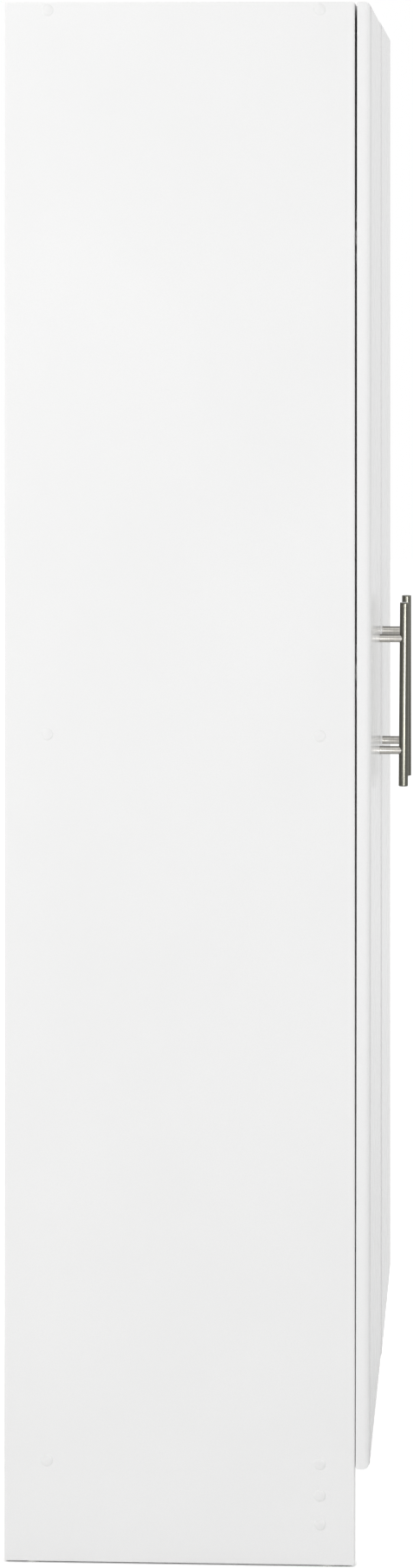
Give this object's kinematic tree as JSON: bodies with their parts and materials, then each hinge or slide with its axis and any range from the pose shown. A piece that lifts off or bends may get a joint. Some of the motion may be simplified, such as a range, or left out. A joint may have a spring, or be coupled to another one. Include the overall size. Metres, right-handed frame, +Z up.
{
  "type": "broom cupboard",
  "caption": "Tall white two-door cupboard with bar handles, concealed hinges, a broom space beside shelves and a recessed kick plate.",
  "frame": {"origin": "on the floor, at the middle of the box round the cupboard and its handles", "axes": "+Z up, -Y towards the doors, -X towards the left side as seen from the front"},
  "size_m": [0.8152, 0.4214, 1.651],
  "materials": {
    "white_board": "white laminate on particle board, satin",
    "white_door": "white laminate on fibreboard, satin, rounded edges",
    "backing_board": "thin hardboard, white inside and bare behind",
    "brushed_nickel": "brushed nickel",
    "hinge_steel": "nickel-plated pressed steel",
    "zinc_steel": "bright zinc plate",
    "white_cap": "white moulded plastic, satin",
    "glide_plastic": "pale moulded plastic",
    "clear_bumper": "translucent soft pad",
    "dowel_wood": "fluted beech, unfinished"
  },
  "bodies": {
    "carcass": {"left_side_panel": "white_board", "right_side_panel": "white_board", "top_panel": "white_board", "bottom_panel": "white_board", "kick_plate": "white_board", "partition": "white_board", "fixed_shelf": "white_board", "lower_shelf": "white_board", "upper_shelf": "white_board", "left_back_panel": "backing_board", "right_back_panel": "backing_board", "left_side_screws": "zinc_steel", "right_side_screws": "zinc_steel", "partition_screws": "zinc_steel", "left_screw_caps": "white_cap", "right_screw_caps": "white_cap", "partition_screw_caps": "white_cap", "wood_dowels": "dowel_wood", "back_nails": "zinc_steel", "shelf_pins": "zinc_steel", "floor_glides": "glide_plastic", "door_bumpers": "clear_bumper", "wall_brackets": "zinc_steel", "wall_bracket_screws": "zinc_steel", "left_hinge_arms": "hinge_steel", "right_hinge_arms": "hinge_steel", "left_hinge_plates": "hinge_steel", "right_hinge_plates": "hinge_steel", "left_hinge_plate_screws": "zinc_steel", "right_hinge_plate_screws": "zinc_steel", "left_hinge_arm_screws": "zinc_steel", "right_hinge_arm_screws": "zinc_steel"},
    "left_door": {"left_door": "white_door", "left_handle_bar": "brushed_nickel", "left_handle_posts": "brushed_nickel", "left_handle_screws": "zinc_steel", "left_hinge_cups": "hinge_steel", "left_hinge_pins": "hinge_steel", "left_hinge_cup_screws": "zinc_steel"},
    "right_door": {"right_door": "white_door", "right_handle_bar": "brushed_nickel", "right_handle_posts": "brushed_nickel", "right_handle_screws": "zinc_steel", "right_hinge_cups": "hinge_steel", "right_hinge_pins": "hinge_steel", "right_hinge_cup_screws": "zinc_steel"}
  },
  "joints": [
    {"name": "left_door_hinge", "type": "hinge", "parent": "carcass", "child": "left_door", "pos_m": [-0.3995, -0.1709, 0.877], "axis": [0, 0, -1], "range_deg": [0, 110]},
    {"name": "right_door_hinge", "type": "hinge", "parent": "carcass", "child": "right_door", "pos_m": [0.3995, -0.1709, 0.877], "axis": [0, 0, 1], "range_deg": [0, 110]}
  ]
}
